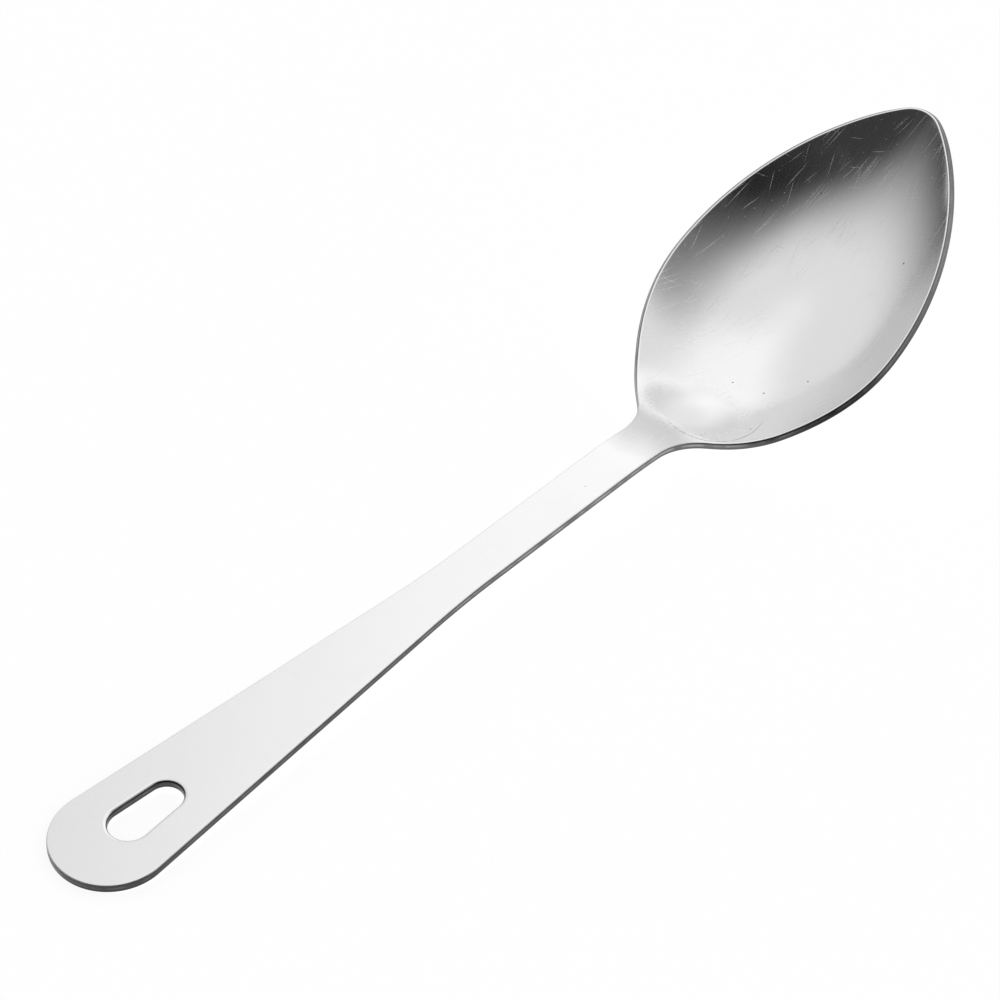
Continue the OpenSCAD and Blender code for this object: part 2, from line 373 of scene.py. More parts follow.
class Blank:
    """A flat blank with rounded edges: X runs along the sheet, Y across it and Z through it."""

    def __init__(self, name):
        self.name = name
        self.bm = bmesh.new()
        self.normal = self.bm.verts.layers.float_vector.new("flat_normal")
        self.depth = self.bm.verts.layers.float.new("depth")
        self.is_edge = self.bm.faces.layers.bool.new("is_edge")

    def vert(self, x, y, depth, normal):
        """A point at that depth, with its exact normal."""
        made = self.bm.verts.new((x, y, -depth))
        made[self.normal] = normal
        made[self.depth] = depth
        return made

    def face(self, corners, is_edge=False, is_cut=False):
        """A face whose repeated corners are left out, and none where fewer than 3 are left."""
        kept = [v for k, v in enumerate(corners) if v is not corners[k - 1]]
        if len(set(kept)) < 3:
            return
        made = self.bm.faces.new(kept)
        made[self.is_edge] = is_edge
        made.smooth = not is_cut

    def side(self, x, y, out_x, out_y, section):
        """Points down the edge at one place of an outline whose outward direction is out."""
        return [
            self.vert(x - out_x * inset, y - out_y * inset, depth, (out_x * out, out_y * out, up))
            for inset, depth, out, up in section
        ]

    def wall(self, first, second):
        """Faces of the edge between two places."""
        for k in range(EDGE_SPANS):
            self.face((first[k], second[k], second[k + 1], first[k + 1]), is_edge_span(k))

    def ring(self, station, section):
        """Points round the whole section at one station: over the top, then down, under and up."""
        s, w, out_x, out_y = station
        left = self.side(s, w, out_x, out_y, section)
        right = self.side(s, -w, out_x, -out_y, section) if w > 0 else left
        top, under = [right[0]], [left[-1]]
        for k in range(1, ACROSS_SPANS):
            share = k / ACROSS_SPANS
            if w == 0:
                top.append(left[0])
                under.append(left[-1])
                continue
            (x, y, _), (_, _, low) = left[0].co, left[-1].co
            top.append(self.vert(x, y * (2 * share - 1), 0.0, (0, 0, 1)))
            under.append(self.vert(x, y * (1 - 2 * share), -low, (0, 0, -1)))
        return [*top, *left[:-1], *under, *right[:0:-1]]

    def bridge(self, first, second):
        """Faces between two rings."""
        count = len(first)
        for k in range(count):
            after = (k + 1) % count
            is_edge = is_edge_span(k - ACROSS_SPANS) or is_edge_span(k - 2 * ACROSS_SPANS - EDGE_SPANS)
            self.face((first[k], second[k], second[after], first[after]), is_edge)

    def fill(self, outer, hole, upward):
        """Faces of a flat region between an outline and the hole in it."""
        corners = outer + hole
        loops = [[v.co for v in outer], [v.co for v in hole]]
        for triangle in tessellate_polygon(loops):
            trio = [corners[k] for k in triangle]
            turn = (trio[1].co - trio[0].co).cross(trio[2].co - trio[0].co).z
            self.face(trio if (turn > 0) == upward else trio[::-1])

    def finished(self):
        """The blank as a mesh, with its own flat coordinates kept as a UV map."""
        self.bm.normal_update()
        uv = self.bm.loops.layers.uv.new("sheet")
        for face in self.bm.faces:
            shift = UNDERSIDE_SHIFT if face.normal.z < -DOWNWARD else 0.0
            for loop in face.loops:
                loop[uv].uv = (loop.vert.co.x, loop.vert.co.y + shift)
        mesh = bpy.data.meshes.new(self.name)
        self.bm.to_mesh(mesh)
        self.bm.free()
        return mesh


def station_at(s, w, slope):
    """A station where the left side has that half width and slope."""
    across = math.hypot(1, slope)
    return s, w, -slope / across, 1 / across


def steps(start, end, step):
    """Places from start to end, both included, about one step apart."""
    count = max(1, round((end - start) / step))
    return [start + (end - start) * k / count for k in range(count + 1)]


def handle_stations(sheet):
    """From the rounded end, round its arc, along the taper and the easing arc to the neck."""
    size = sheet.size
    stations = []
    for k in range(END_SPANS + 1):
        turn = (math.pi / 2 + sheet.taper) * k / END_SPANS if k else 0.0
        w = sheet.end_r * math.sin(turn)
        stations.append((sheet.end_r * (1 - math.cos(turn)), w, -math.cos(turn), math.sin(turn)))
    centre_y = sheet.shank_r + size.taper_blend_r
    for k in range(BLEND_SPANS + 1):
        turn = sheet.taper * (1 - k / BLEND_SPANS)
        s = sheet.blend_s - size.taper_blend_r * math.sin(turn)
        w = centre_y - size.taper_blend_r * math.cos(turn)
        stations.append((s, w, math.sin(turn), math.cos(turn)))
    stations.append((size.handle_l, sheet.shank_r, 0.0, 1.0))
    return stations


def handle_blank(sheet):
    """Blank of the handle: its edge, the slot's wall, two flat faces and the cut at the neck."""
    size = sheet.size
    blank = Blank("spoon_handle")
    section = edge_section(size.edge_reach, size.sheet_t)
    stations = handle_stations(sheet)
    lefts, rights = [], []
    for s, w, out_x, out_y in stations[:-1]:
        lefts.append(blank.side(s, w, out_x, out_y, section))
        rights.append(blank.side(s, -w, out_x, -out_y, section) if w > 0 else lefts[-1])
    cut = blank.ring(stations[-1], section)
    top_end, under_start = ACROSS_SPANS, ACROSS_SPANS + EDGE_SPANS
    under_end = 2 * ACROSS_SPANS + EDGE_SPANS
    lefts.append(cut[top_end:under_start + 1])
    rights.append([cut[0], *cut[:under_end - 1:-1]])
    for k in range(len(lefts) - 1):
        blank.wall(lefts[k], lefts[k + 1])
        blank.wall(rights[k + 1], rights[k])

    slot = slot_sides(blank, sheet)
    for k, side in enumerate(slot):
        blank.wall(slot[k - 1], side)
    onward, back = rights[1:-1], lefts[-2::-1]
    top = [side[0] for side in onward] + cut[:top_end + 1] + [side[0] for side in back]
    under_cut = cut[under_end:under_start - 1:-1]
    under = [side[-1] for side in onward] + under_cut + [side[-1] for side in back]
    blank.fill(top, [side[0] for side in slot], upward=True)
    blank.fill(under, [side[-1] for side in slot], upward=False)
    blank.face(cut[::-1], is_cut=True)
    return blank.finished()


def slot_sides(blank, sheet):
    """Edge points round the hanging slot, whose metal lies outside its outline."""
    size = sheet.size
    section = edge_section(size.slot_reach, size.sheet_t, SLOT_SQUARENESS)
    wide, slim = size.slot_w / 2, size.slot_neck_w / 2
    wide_x = size.slot_x - size.slot_l / 2 + wide
    slim_x = size.slot_x + size.slot_l / 2 - slim
    side_turn = math.acos((wide - slim) / (slim_x - wide_x))
    ends = ((slim_x, slim, -side_turn, side_turn), (wide_x, wide, side_turn, 2 * math.pi - side_turn))
    sides = []
    for x, radius, start, end in ends:
        for k in range(SLOT_SPANS + 1):
            turn = start + (end - start) * k / SLOT_SPANS
            out_x, out_y = -math.cos(turn), -math.sin(turn)
            sides.append(blank.side(x - radius * out_x, -radius * out_y, out_x, out_y, section))
    return sides


def rows_blank(name, stations, sheet, open_end):
    """Blank of the neck or the bowl, made of rings from one station to the next."""
    blank = Blank(name)
    section = edge_section(sheet.size.edge_reach, sheet.size.sheet_t)
    rings = [blank.ring(station, section) for station in stations]
    for first, second in zip(rings, rings[1:]):
        blank.bridge(first, second)
    blank.face(rings[0], is_cut=True)
    if open_end:
        blank.face(rings[-1][::-1], is_cut=True)
    return blank.finished()


def slope_at(sheet, s):
    """Slope of the left side at place s, measured between the neck's start and the tip."""
    low, high = max(sheet.size.handle_l, s - PROBE), min(sheet.tip_s, s + PROBE)
    return (sheet.half_w(high) - sheet.half_w(low)) / (high - low)


def neck_blank(sheet):
    """Blank of the neck, which starts square to the shank."""
    places = steps(sheet.size.handle_l, sheet.heel_s, NECK_STEP)
    stations = [station_at(s, sheet.half_w(s), slope_at(sheet, s)) for s in places]
    stations[0] = station_at(places[0], sheet.shank_r, 0.0)
    return rows_blank("spoon_neck", stations, sheet, open_end=True)


def tip_turns(sheet):
    """Angles round the tip's arc, from where it touches the sides to the very tip."""
    touch = math.acos((sheet.tip_touch_s - sheet.tip_centre_s) / sheet.size.tip_r)
    return [touch * (1 - k / TIP_SPANS) for k in range(TIP_SPANS + 1)]


def bowl_blank(sheet):
    """Blank of the bowl, from the heel along its sides and round the tip's arc."""
    places = steps(sheet.heel_s, sheet.tip_touch_s, BOWL_STEP)
    stations = [station_at(s, sheet.half_w(s), slope_at(sheet, s)) for s in places[:-1]]
    for turn in tip_turns(sheet):
        out_x, out_y = math.cos(turn), math.sin(turn)
        radius = sheet.size.tip_r
        stations.append((sheet.tip_centre_s + radius * out_x, radius * out_y, out_x, out_y))
    return rows_blank("spoon_bowl", stations, sheet, open_end=False)


def add_object(name, data):
    """An object of that name in the scene, at the origin."""
    made = bpy.data.objects.new(name, data)
    bpy.context.scene.collection.objects.link(made)
    return made


def rim_line_object(sheet):
    """The rim line from the handle's end to the tip, carrying the half width and the hollow."""
    places = steps(0.0, sheet.tip_touch_s, RIM_LINE_STEP)
    places += [sheet.tip_centre_s + sheet.size.tip_r * math.cos(turn) for turn in tip_turns(sheet)[1:]]
    points = [sheet.rim_line(s) for s in places]
    spans = [(k, k + 1) for k in range(len(places) - 1)]
    mesh = bpy.data.meshes.new("rim_line")
    mesh.from_pydata([(point.x, 0.0, point.y) for point in points], spans, [])
    for name, values in (
        ("half_width", [sheet.half_w(s) for s in places]),
        ("hollow", [sheet.hollow(s) for s in places]),
    ):
        mesh.attributes.new(name, "FLOAT", "POINT").data.foreach_set("value", values)
    return add_object("rim_line", mesh)


# Types of node, by short names
MATH = "ShaderNodeMath"
VECTOR_MATH = "ShaderNodeVectorMath"
MAP_RANGE = "ShaderNodeMapRange"
MIX = "ShaderNodeMix"
NOISE = "ShaderNodeTexNoise"
SEPARATE = "ShaderNodeSeparateXYZ"
COMBINE = "ShaderNodeCombineXYZ"
EMISSION = "ShaderNodeEmission"
NAMED_ATTRIBUTE = "GeometryNodeInputNamedAttribute"


def add(tree, kind, inputs=None, **settings):
    """Adds a node with its settings. An input takes a value, a socket, or a node's first output."""
    node = tree.nodes.new(kind)
    for name, value in settings.items():
        setattr(node, name, value)
    for key, value in (inputs or {}).items():
        if isinstance(value, bpy.types.Node):
            value = value.outputs[0]
        if isinstance(value, bpy.types.NodeSocket):
            tree.links.new(value, node.inputs[key])
        else:
            node.inputs[key].default_value = value
    return node


def new_tree(name, inputs, outputs):
    """A geometry node group with named sockets, and its two end nodes."""
    tree = bpy.data.node_groups.new(name, "GeometryNodeTree")
    for in_out, sockets in (("INPUT", inputs), ("OUTPUT", outputs)):
        for title, kind in sockets.items():
            tree.interface.new_socket(title, in_out=in_out, socket_type="NodeSocket" + kind)
    return tree, add(tree, "NodeGroupInput").outputs, add(tree, "NodeGroupOutput").inputs


def sheet_point_tree():
    """Where a point of the sheet's top face lies once it is bent and pressed."""
    tree, given, result = new_tree(
        "Sheet point",
        {
            "Rim Line": "Geometry",
            "Along": "Float",
            "Across": "Float",
            "Press Direction": "Vector",
            "Bowl Depth": "Float",
        },
        {"Position": "Vector"},
    )
    samples = {}
    for name in ("half_width", "hollow"):
        value = add(tree, NAMED_ATTRIBUTE, {"Name": name}, data_type="FLOAT")
        samples[name] = add(
            tree,
            "GeometryNodeSampleCurve",
            {"Curves": given["Rim Line"], "Value": value, "Length": given["Along"]},
            mode="LENGTH",
            data_type="FLOAT",
        )
    # The hollow is a parabola across the sheet, with its full depth on the middle line
    width = add(tree, MATH, {0: samples["half_width"], 1: LEAST_HALF_W}, operation="MAXIMUM")
    share = add(tree, MATH, {0: given["Across"], 1: width}, operation="DIVIDE")
    square = add(tree, MATH, {0: share, 1: share}, operation="MULTIPLY")
    rest = add(tree, MATH, {0: 1.0, 1: square}, operation="SUBTRACT")
    hollow = add(tree, MATH, {0: rest, 1: samples["hollow"]}, operation="MULTIPLY")
    depth = add(tree, MATH, {0: hollow, 1: given["Bowl Depth"]}, operation="MULTIPLY")
    pressed = add(tree, VECTOR_MATH, {0: given["Press Direction"], "Scale": depth}, operation="SCALE")
    sideways = add(tree, COMBINE, {"Y": given["Across"]})
    rim_point = samples["hollow"].outputs["Position"]
    bent = add(tree, VECTOR_MATH, {0: rim_point, 1: sideways}, operation="ADD")
    point = add(tree, VECTOR_MATH, {0: bent, 1: pressed}, operation="ADD")
    tree.links.new(point.outputs[0], result["Position"])
    return tree


def press_tree():
    """Bends a flat blank along the rim line and presses the hollow, keeping its thickness."""
    tree, given, result = new_tree(
        "Press the sheet",
        {
            "Blank": "Geometry",
            "Rim Line": "Object",
            "Press Direction": "Vector",
            "Bowl Depth": "Float",
            "Handle Length": "Float",
            "Neck Length": "Float",
            "Bowl Thickness Share": "Float",
            "Probe": "Float",
            "Last Slope Place": "Float",
            "Face Finish": "Material",
            "Edge Finish": "Material",
        },
        {"Spoon": "Geometry"},
    )
    point_tree = sheet_point_tree()
    rim = add(tree, "GeometryNodeObjectInfo", {"Object": given["Rim Line"]})
    line = add(tree, "GeometryNodeMeshToCurve", {"Mesh": rim.outputs["Geometry"]})
    place = add(tree, SEPARATE, {0: add(tree, "GeometryNodeInputPosition")})
    along, across, below = place.outputs

    # Five points of the top face: here, and one probe ahead, behind, to the left and to the right
    measured = add(tree, MATH, {0: along, 1: given["Last Slope Place"]}, operation="MINIMUM")
    probed = {}
    for name, start, operation in (
        ("ahead", measured, "ADD"),
        ("behind", measured, "SUBTRACT"),
        ("left", across, "ADD"),
        ("right", across, "SUBTRACT"),
    ):
        probed[name] = add(tree, MATH, {0: start, 1: given["Probe"]}, operation=operation)
    points = {}
    for name, s, y in (
        ("here", along, across),
        ("ahead", probed["ahead"], across),
        ("behind", probed["behind"], across),
        ("left", measured, probed["left"]),
        ("right", measured, probed["right"]),
    ):
        points[name] = add(
            tree,
            "GeometryNodeGroup",
            {
                "Rim Line": line,
                "Along": s,
                "Across": y,
                "Press Direction": given["Press Direction"],
                "Bowl Depth": given["Bowl Depth"],
            },
            node_tree=point_tree,
        )
    forward = add(tree, VECTOR_MATH, {0: points["ahead"], 1: points["behind"]}, operation="SUBTRACT")
    leftward = add(tree, VECTOR_MATH, {0: points["left"], 1: points["right"]}, operation="SUBTRACT")
    cross = add(tree, VECTOR_MATH, {0: forward, 1: leftward}, operation="CROSS_PRODUCT")
    upward = add(tree, VECTOR_MATH, {0: cross}, operation="NORMALIZE")

    # Depth is measured square to the pressed top face, and the sheet thins along the neck
    past_handle = add(tree, MATH, {0: along, 1: given["Handle Length"]}, operation="SUBTRACT")
    in_neck = add(tree, MATH, {0: past_handle, 1: given["Neck Length"]}, operation="DIVIDE", use_clamp=True)
    thinned = add(tree, MIX, {0: in_neck, 2: 1.0, 3: given["Bowl Thickness Share"]}, data_type="FLOAT")
    depth = add(tree, MATH, {0: below, 1: thinned}, operation="MULTIPLY")
    through = add(tree, VECTOR_MATH, {0: upward, "Scale": depth}, operation="SCALE")
    position = add(tree, VECTOR_MATH, {0: points["here"], 1: through}, operation="ADD")

    # The blank's exact normals are turned with the sheet
    flat = add(tree, NAMED_ATTRIBUTE, {"Name": "flat_normal"}, data_type="FLOAT_VECTOR")
    parts = add(tree, SEPARATE, {0: flat}).outputs
    outward = []
    for part, first, second in ((parts[0], leftward, upward), (parts[1], upward, forward)):
        turned = add(tree, VECTOR_MATH, {0: first, 1: second}, operation="CROSS_PRODUCT")
        outward.append(add(tree, VECTOR_MATH, {0: turned, "Scale": part}, operation="SCALE"))
    outward_sum = add(tree, VECTOR_MATH, {0: outward[0], 1: outward[1]}, operation="ADD")
    outward_unit = add(tree, VECTOR_MATH, {0: outward_sum}, operation="NORMALIZE")
    flat_part = add(tree, COMBINE, {"X": parts[0], "Y": parts[1]})
    flat_length = add(tree, VECTOR_MATH, {0: flat_part}, operation="LENGTH").outputs["Value"]
    sideways = add(tree, VECTOR_MATH, {0: outward_unit, "Scale": flat_length}, operation="SCALE")
    upright = add(tree, VECTOR_MATH, {0: upward, "Scale": parts[2]}, operation="SCALE")
    shade = add(tree, VECTOR_MATH, {0: sideways, 1: upright}, operation="ADD")

    kept = add(
        tree,
        "GeometryNodeStoreNamedAttribute",
        {"Geometry": given["Blank"], "Name": "shade_normal", "Value": shade},
        data_type="FLOAT_VECTOR",
        domain="POINT",
    )
    moved = add(tree, "GeometryNodeSetPosition", {"Geometry": kept, "Position": position})
    shown = add(tree, "GeometryNodeRealizeInstances", {"Geometry": moved})
    is_edge = add(tree, NAMED_ATTRIBUTE, {"Name": "is_edge"}, data_type="BOOLEAN")
    for finish, where in (("Face Finish", True), ("Edge Finish", is_edge)):
        shown = add(
            tree,
            "GeometryNodeSetMaterial",
            {"Geometry": shown, "Selection": where, "Material": given[finish]},
        )
    tree.links.new(shown.outputs[0], result["Spoon"])
    return tree


def set_input(modifier, title, value):
    """Sets a node modifier's input by its socket's identifier."""
    for item in modifier.node_group.interface.items_tree:
        if item.name == title and item.in_out == "INPUT":
            modifier[item.identifier] = value
            return
    raise RuntimeError(f"the node tree has no input named {title}")


def rest_matrix(sheet):
    """From the sheet's own frame to the row frame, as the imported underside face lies."""
    axis = next(m for m in frame["record"]["mounts"] if m["name"] == "underside")["axis"]
    tilt = math.atan2(axis[0], -axis[2])
    end_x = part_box("handle")[0].x
    lift = sheet.size.sheet_t * math.cos(tilt)
    return Matrix.Translation((end_x, 0.0, lift)) @ Matrix.Rotation(-tilt, 4, "Y")


def shade_smooth(mesh, turn):
    """Gives the mesh its exact normals, and its cut ends their flat ones."""
    normals = [turn @ Vector(row.vector) for row in mesh.attributes["shade_normal"].data]
    split = [(0.0, 0.0, 0.0)] * len(mesh.loops)
    for face in mesh.polygons:
        for k in face.loop_indices:
            split[k] = normals[mesh.loops[k].vertex_index] if face.use_smooth else face.normal.copy()
    mesh.normals_split_custom_set(split)
    for name in ("shade_normal", "flat_normal", "is_edge"):
        mesh.attributes.remove(mesh.attributes[name])


def pressed_piece(blank, sheet, finish, node):
    """Presses a blank, lays it at rest, attaches it to the root body and hides the node that it replaces.
    """
    piece = add_object(blank.name, blank)
    rim = rim_line_object(sheet)
    modifier = piece.modifiers.new("Press", "NODES")
    modifier.node_group = bpy.data.node_groups.get("Press the sheet") or press_tree()
    for title, value in (
        ("Rim Line", rim),
        ("Press Direction", sheet.press),
        ("Bowl Depth", sheet.size.bowl_depth),
        ("Handle Length", sheet.size.handle_l),
        ("Neck Length", sheet.size.neck_l),
        ("Bowl Thickness Share", sheet.size.bowl_t / sheet.size.sheet_t),
        ("Probe", PROBE),
        ("Last Slope Place", sheet.tip_s - TIP_MARGIN),
        ("Face Finish", buffed_stainless(finish)),
        ("Edge Finish", tumbled_stainless(finish)),
    ):
        set_input(modifier, title, value)
    depsgraph = bpy.context.evaluated_depsgraph_get()
    mesh = bpy.data.meshes.new_from_object(piece.evaluated_get(depsgraph), depsgraph=depsgraph)
    piece.modifiers.clear()
    piece.data = mesh
    mesh.name = blank.name
    for leftover in (rim.data, blank):
        bpy.data.meshes.remove(leftover)
    rest = rest_matrix(sheet)
    mesh.transform(rest)
    shade_smooth(mesh, rest.to_3x3())
    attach(piece, "root")
    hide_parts(node)


# Layers of hand wear: direction in degrees, cell in mm and share kept. The last layer is specks
WEAR_LAYERS = (
    (13, (15.0, 0.22), 0.04),
    (21, (9.0, 0.2), 0.025),
    (-9, (11.0, 0.2), 0.02),
    (64, (6.0, 0.2), 0.01),
    (0, (0.4, 0.34), 0.006),
)
# Pits, in the same form
PIT_LAYER = (40, (0.7, 0.6), 0.0011)
# Distances from a mark's middle, as shares of its cell, at which it has faded out and is full
MARK_FADE = (0.45, 0.1)
# Part of the wear that the least used places have
LEAST_WEAR = 0.25
# How far the strokes of hand wear drift aside, and over what length, in mm
DRIFT_W = 12.0
DRIFT_L = 60.0
# Length and width of the streaks that buffing leaves, and the size of the water marks, in mm
GRAIN_L = 30.0
GRAIN_W = 0.7
SMUDGE_L = 14.0
# What the grain, the water marks and the softer shine at the heel change in the roughness
GRAIN_ROUGHNESS = 0.05
SMUDGE_ROUGHNESS = 0.07
HEEL_ROUGHNESS = 0.15
# How far the ends of the band of painted shade across the neck wander, in mm
BAND_WANDER = 6.0
# Middle of the heel's patch of painted highlight and softer shine, along and across the sheet, in mm
HEEL_HIGHLIGHT_CENTRE = (197.5, 0.5, 0.0)
# Centre, along and across the sheet, and radius of the fold at the heel, along which a thin line of shade
# is painted, in mm
FOLD_CENTRE = (200.5, -3.5, 0.0)
FOLD_R = 11.3
# How dark the painted shade along the fold is, where 1 is as dark as a pit
FOLD_SHADE_DARKNESS = 0.5
# Depth of the middle of the edge's painted reflection streak, and the length over which it comes and goes,
# in mm
STREAK_DEPTH = 0.9
STREAK_L = 5.0
# Part of the streak that shows where it is faintest
LEAST_STREAK = 0.2


def new_material(name):
    """An empty node material, with its tree and its Principled shader."""
    material = bpy.data.materials.new(name)
    material.use_nodes = True
    tree = material.node_tree
    return material, tree, tree.nodes["Principled BSDF"]


def sheet_place(tree):
    """Place on the flat sheet in mm: X along it and Y across it, so patterns follow the bends."""
    flat = add(tree, "ShaderNodeUVMap", uv_map="sheet")
    return add(tree, VECTOR_MATH, {0: flat, "Scale": 1 / MM}, operation="SCALE")


def marks(tree, place, turn, cell, kept):
    """1 in the middle of thin marks that fade to 0 at their ends and sides.

    A mark fills most of a stretched Voronoi cell of that size, turned by that angle, and only a
    small share of the cells is kept. Long cells make scratches and square ones make specks.
    """
    turned = add(
        tree,
        "ShaderNodeVectorRotate",
        {"Vector": place, "Angle": math.radians(turn)},
        rotation_type="Z_AXIS",
    )
    cells = add(tree, VECTOR_MATH, {0: turned, 1: (1 / cell[0], 1 / cell[1], 0)}, operation="MULTIPLY")
    found = add(
        tree, "ShaderNodeTexVoronoi", {"Vector": cells, "Scale": 1.0}, voronoi_dimensions="2D"
    ).outputs
    chance = add(tree, "ShaderNodeSeparateColor", {0: found["Color"]})
    is_kept = add(tree, MATH, {0: chance, 1: 1 - kept}, operation="GREATER_THAN")
    mark = add(
        tree,
        MAP_RANGE,
        {"Value": found["Distance"], "From Min": MARK_FADE[0], "From Max": MARK_FADE[1]},
        interpolation_type="SMOOTHSTEP",
    )
    return add(tree, MATH, {0: mark, 1: is_kept}, operation="MULTIPLY")


def hand_wear(tree, place, share):
    """How worn a place is by scratches and specks, and how pitted it is."""
    worn = 0.0
    for layer in WEAR_LAYERS:
        worn = add(tree, MATH, {0: worn, 1: marks(tree, place, *layer)}, operation="MAXIMUM")
    # The bowl is scraped more than the handle is, and most on its left side and at its tip
    scraped = add(tree, MATH, {0: share["left side"], 1: share["tip"]}, operation="MAXIMUM")
    scraped = add(tree, MATH, {0: scraped, 1: share["bowl"]}, operation="MULTIPLY")
    use = add(tree, MAP_RANGE, {"Value": scraped, "To Min": LEAST_WEAR})
    worn = add(tree, MATH, {0: worn, 1: use}, operation="MULTIPLY")
    # Salt and acids have pitted it here and there, the handle much less
    pits = marks(tree, place, *PIT_LAYER)
    return worn, add(tree, MATH, {0: pits, 1: share["past the handle"]}, operation="MULTIPLY")


def buffed_stainless(finish):
    """Stainless steel sheet, pressed and buffed to a soft shine, then worn by washing up, with painted
    shade across the neck and along the heel's fold and a painted highlight at the heel.
    """
    if "buffed_stainless" in bpy.data.materials:
        return bpy.data.materials["buffed_stainless"]
    material, tree, shader = new_material("buffed_stainless")
    flat = sheet_place(tree)
    along, across, _ = add(tree, SEPARATE, {0: flat}).outputs
    # Hand wear runs in slightly curved strokes, mostly along the spoon: this bends them all
    drift = add(tree, NOISE, {"Vector": flat, "Scale": 1 / DRIFT_L, "Detail": 0.0}, noise_dimensions="2D")
    bend = add(tree, VECTOR_MATH, {0: drift.outputs["Color"], "Scale": DRIFT_W}, operation="SCALE")
    place = add(tree, VECTOR_MATH, {0: flat, 1: bend}, operation="ADD")
    # Buffing leaves a fine grain along the sheet, seen as a slight streaking of the shine
    fine = (1 / GRAIN_L, 1 / GRAIN_W, 0)
    stretched = add(tree, VECTOR_MATH, {0: place, 1: fine}, operation="MULTIPLY")
    grain = add(tree, NOISE, {"Vector": stretched, "Scale": 1.0, "Detail": 3.0}, noise_dimensions="2D")
    # Water marks and finger marks dull it in broad soft patches
    smudge = add(tree, NOISE, {"Vector": flat, "Scale": 1 / SMUDGE_L, "Detail": 4.0}, noise_dimensions="2D")

    # Distance from the middle of the heel's painted highlight, place along the sheet with the wander of the
    # ends of the painted shade band, and distance from the fold's arc, all in mm
    heel = add(tree, VECTOR_MATH, {0: flat, 1: HEEL_HIGHLIGHT_CENTRE}, operation="DISTANCE").outputs["Value"]
    wander = add(tree, MATH, {0: smudge, 1: BAND_WANDER}, operation="MULTIPLY")
    band = add(tree, MATH, {0: along, 1: wander}, operation="ADD")
    centre = add(tree, VECTOR_MATH, {0: flat, 1: FOLD_CENTRE}, operation="DISTANCE").outputs["Value"]
    past_arc = add(tree, MATH, {0: centre, 1: FOLD_R}, operation="SUBTRACT")
    fold = add(tree, MATH, {0: past_arc}, operation="ABSOLUTE")
    # Each row goes smoothly from 0 at the first number to 1 at the second. The numbers are in mm
    # on the sheet, or levels of the smudges and the grain
    share = {}
    for name, value, start, end in (
        ("left side", across, -8.0, 10.0),
        ("tip", along, 258.0, 276.0),
        ("bowl", along, 180.0, 215.0),
        ("past the handle", along, 100.0, 230.0),
        ("smudged", smudge, 0.5, 0.75),
        ("band start", band, 174.0, 187.0),
        ("band end", band, 195.0, 188.0),
        ("heel softness", heel, 16.0, 7.0),
        ("heel painted highlight", heel, 9.5, 3.5),
        ("fold line", fold, 0.16, 0.04),
        ("fold breaks", grain, 0.35, 0.5),
        ("fold end", along, 207.0, 203.0),
        ("fold right part", across, 2.0, 0.0),
    ):
        share[name] = add(
            tree,
            MAP_RANGE,
            {"Value": value, "From Min": start, "From Max": end},
            interpolation_type="SMOOTHSTEP",
        )

    worn, pits = hand_wear(tree, place, share)
    smooth, rough = finish.face_roughness - GRAIN_ROUGHNESS, finish.face_roughness + GRAIN_ROUGHNESS
    shine = add(tree, MAP_RANGE, {"Value": grain, "To Min": smooth, "To Max": rough})
    dulled = add(tree, MATH, {0: share["smudged"], 1: SMUDGE_ROUGHNESS}, operation="MULTIPLY")
    # The heel's shine is less sharp than the faces', and a painted highlight makes it brighter below
    softened = add(tree, MATH, {0: share["heel softness"], 1: HEEL_ROUGHNESS}, operation="MULTIPLY")
    dulled = add(tree, MATH, {0: dulled, 1: softened}, operation="ADD")
    unmarked = add(tree, MATH, {0: shine, 1: dulled}, operation="ADD")
    marked = add(tree, MATH, {0: worn, 1: pits}, operation="MAXIMUM")
    roughness = add(tree, MIX, {0: marked, 2: unmarked, 3: finish.worn_roughness}, data_type="FLOAT")
    tree.links.new(roughness.outputs[0], shader.inputs["Roughness"])

    # Painted shade: a darker band across the neck where the sheet bends down to the bowl, standing in for a
    # dark reflection there
    bent = add(tree, MATH, {0: share["band start"], 1: share["band end"]}, operation="MULTIPLY")
    # Painted shade: a thin dark line along the hollow's fold across the heel and a little way along the
    # right rim
    fold_shade = share["fold line"]
    for part in (share["fold breaks"], share["fold end"], share["fold right part"], FOLD_SHADE_DARKNESS):
        fold_shade = add(tree, MATH, {0: fold_shade, 1: part}, operation="MULTIPLY")
    # The pits' own dark colour and the painted shade along the fold share one colour
    dark = add(tree, MATH, {0: pits, 1: fold_shade}, operation="MAXIMUM")
    # Over the face colour go painted shade across the neck, a painted highlight at the heel, the scratches'
    # own colour, and the pits' own colour shared with the painted shade along the fold
    tone = (*finish.face_colour, 1.0)
    for part, colour_there in (
        (bent, finish.neck_shade_colour),
        (share["heel painted highlight"], finish.heel_highlight_colour),
        (worn, finish.worn_colour),
        (dark, finish.pit_and_fold_shade_colour),
    ):
        tone = add(tree, MIX, {0: part, 6: tone, 7: (*colour_there, 1.0)}, data_type="RGBA").outputs[2]
    tree.links.new(tone, shader.inputs["Base Color"])
    shader.inputs["Metallic"].default_value = 1.0
    return material


